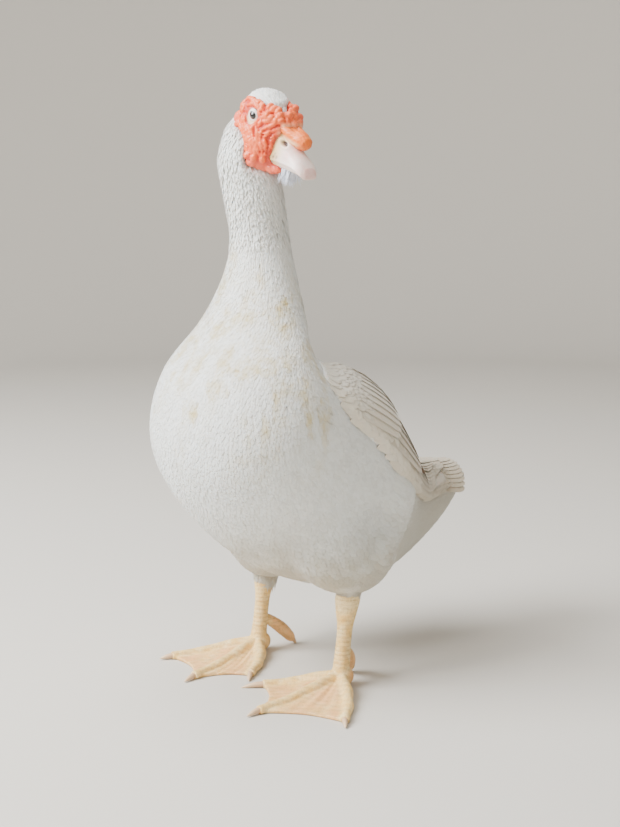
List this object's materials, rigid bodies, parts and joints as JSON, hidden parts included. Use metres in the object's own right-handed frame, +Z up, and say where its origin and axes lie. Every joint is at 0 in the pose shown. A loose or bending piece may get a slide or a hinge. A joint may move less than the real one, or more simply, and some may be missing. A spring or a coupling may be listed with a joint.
{
  "type": "muscovy duck",
  "caption": "Large white domestic duck standing upright on webbed feet, neck raised and head turned to its left, with a red caruncled face mask, a low crest and folded wings.",
  "frame": {"origin": "on the ground, under the middle of the whole bird's bounding box", "axes": "the bird's body faces -Y, its left side is +X, +Z is up; its head is turned to face +X"},
  "size_m": [0.2588, 0.3862, 0.5683],
  "materials": {
    "body_feather": "matt",
    "flight_feather": "satin",
    "caruncle_skin": "satin",
    "knob_skin": "satin",
    "bill_horn": "satin",
    "nail_horn": "satin",
    "eye": "gloss",
    "lid_skin": "satin",
    "leg_scale": "satin",
    "claw_horn": "satin"
  },
  "bodies": {
    "root": {"torso": "body_feather", "neck_lower": "body_feather", "neck_upper": "body_feather", "head": "body_feather", "thigh_left": "body_feather", "thigh_right": "body_feather", "crest": "body_feather", "chin_tuft": "body_feather", "wing_left": "flight_feather", "wing_right": "flight_feather", "tail": "flight_feather", "caruncles_left": "caruncle_skin", "caruncles_right": "caruncle_skin", "caruncles_forehead": "caruncle_skin", "bill_knob": "knob_skin", "bill_upper": "bill_horn", "bill_lower": "bill_horn", "bill_nail": "nail_horn", "eye_left": "eye", "eye_right": "eye", "eyelids_left": "lid_skin", "eyelids_right": "lid_skin", "shank_left": "leg_scale", "shank_right": "leg_scale", "foot_left": "leg_scale", "foot_right": "leg_scale", "claw_outer_left": "claw_horn", "claw_middle_left": "claw_horn", "claw_inner_left": "claw_horn", "claw_hind_left": "claw_horn", "claw_outer_right": "claw_horn", "claw_middle_right": "claw_horn", "claw_inner_right": "claw_horn", "claw_hind_right": "claw_horn"}
  },
  "joints": []
}
